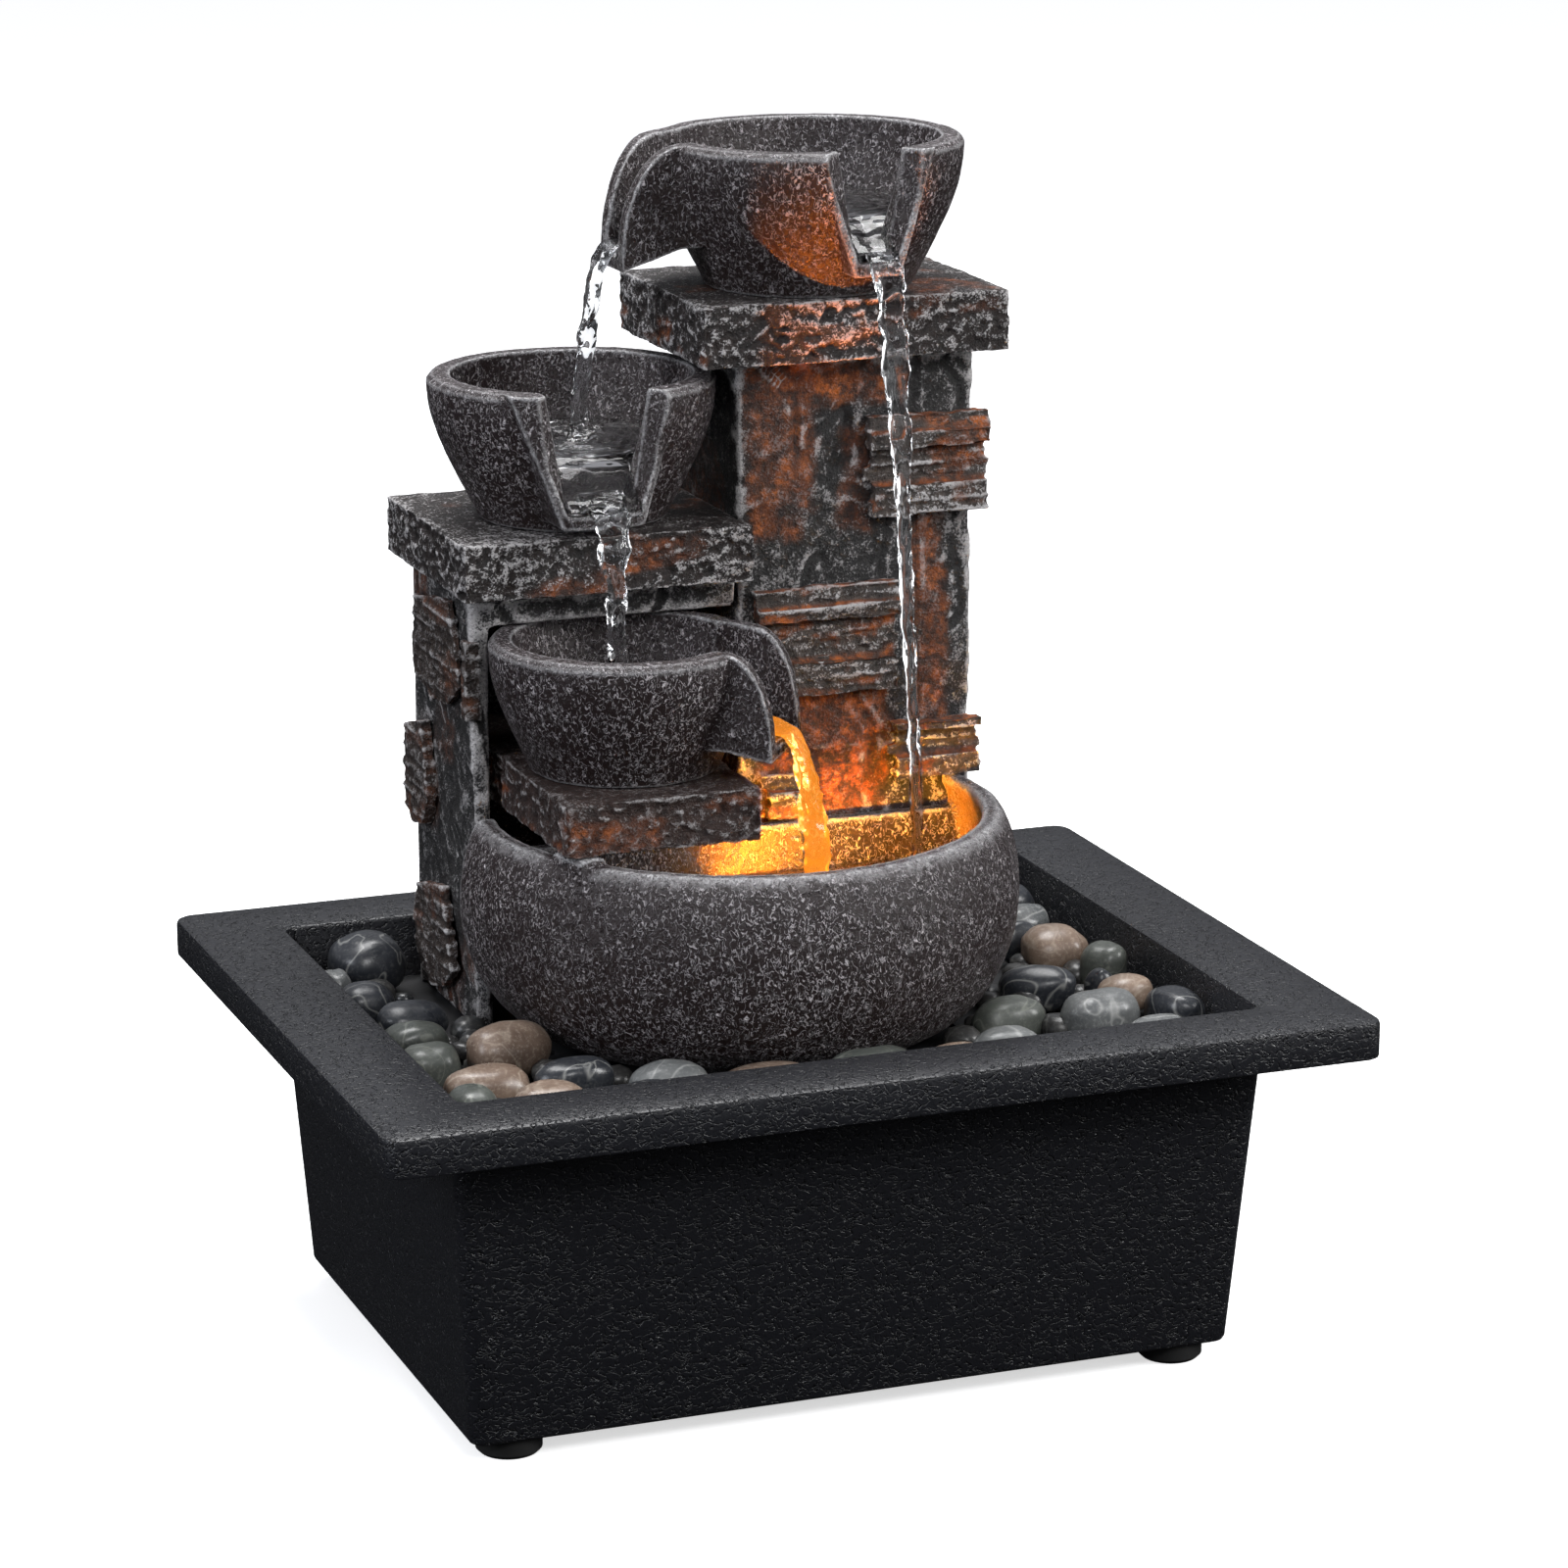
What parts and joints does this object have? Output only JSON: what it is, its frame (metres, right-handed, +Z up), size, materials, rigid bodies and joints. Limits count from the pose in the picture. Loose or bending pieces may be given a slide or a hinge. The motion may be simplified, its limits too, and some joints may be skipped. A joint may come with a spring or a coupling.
{
  "type": "tabletop water fountain",
  "caption": "Tabletop fountain: stepped stone-look bowls on slabs and columns in a black basin with pebbles, fed by a hidden pump and lit by a small amber lamp.",
  "frame": {"origin": "centre of the basin's plan, on the surface that the feet rest on", "axes": "+X to the right along the basin's long side, +Y to the back, +Z up"},
  "size_m": [0.25, 0.191, 0.2935],
  "materials": {
    "basin_plastic": "satin",
    "shelf_plastic": "matte",
    "rubber": "matte",
    "pump_plastic": "satin",
    "dial_plastic": "satin",
    "magnet": "satin",
    "core_steel": "satin",
    "copper_wire": "satin",
    "ceramic": "polished",
    "tube_vinyl": "gloss",
    "resin_bowl": "matte",
    "resin_slab": "matte",
    "resin_column": "matte",
    "resin_rust": "matte",
    "lamp_black": "satin",
    "lamp_white": "satin",
    "gasket_red": "matte",
    "lamp_amber": "gloss",
    "pebble_dark": "satin",
    "pebble_green": "satin",
    "pebble_tan": "satin",
    "pebble_light": "satin",
    "water": "gloss"
  },
  "bodies": {
    "basin": {"basin": "basin_plastic", "basin_rim": "basin_plastic", "shelf_supports": "basin_plastic", "cord_gate": "basin_plastic", "feet": "rubber", "shelf": "shelf_plastic", "cord_grommet": "rubber", "pump_housing": "pump_plastic", "pump_end_cap": "pump_plastic", "pump_stator": "core_steel", "pump_coil": "copper_wire", "pump_shaft": "ceramic", "pump_chamber_cover": "pump_plastic", "pump_suction_cups": "rubber", "pebbles_dark": "pebble_dark", "pebbles_green": "pebble_green", "pebbles_tan": "pebble_tan", "pebbles_light": "pebble_light"},
    "pump_rotor": {"pump_rotor": "magnet"},
    "strainer": {"pump_intake_cover": "pump_plastic"},
    "flow_dial": {"flow_dial": "dial_plastic"},
    "sculpture": {"riser_tube": "tube_vinyl", "outlet_nozzle": "pump_plastic", "base_bowl": "resin_bowl", "short_column": "resin_column", "tall_column": "resin_column", "lower_slab": "resin_slab", "middle_slab": "resin_slab", "top_slab": "resin_slab", "lower_bowl": "resin_bowl", "middle_bowl": "resin_bowl", "upper_bowl": "resin_bowl", "pillar_stones": "resin_rust", "side_stones": "resin_rust", "wall_stones": "resin_rust", "lamp_housing": "lamp_black", "lamp_board": "lamp_white", "lamp_gasket": "gasket_red", "lamp_lens": "lamp_amber", "lamp_bracket": "lamp_black", "lamp_lead": "lamp_black", "lamp_plug": "lamp_black"},
    "rear_cover": {"rear_cover": "resin_column"}
  },
  "joints": [
    {"name": "rotor_spin", "type": "hinge", "parent": "basin", "child": "pump_rotor", "pos_m": [0, 0.04, 0.0284], "axis": [1, 0, 0], "continuous": true},
    {"name": "strainer_pull", "type": "slide", "parent": "basin", "child": "strainer", "axis": [1, 0, 0], "range_m": [0, 0.02]},
    {"name": "dial_turn", "type": "hinge", "parent": "strainer", "child": "flow_dial", "pos_m": [0.0573, 0.04, 0.0284], "axis": [1, 0, 0], "range_deg": [0, 60]},
    {"name": "sculpture_lift", "type": "slide", "parent": "basin", "child": "sculpture", "axis": [0, 0, 1], "range_m": [0, 0.05]},
    {"name": "rear_cover_pull", "type": "slide", "parent": "sculpture", "child": "rear_cover", "axis": [0, 1, 0], "range_m": [0, 0.02]}
  ]
}
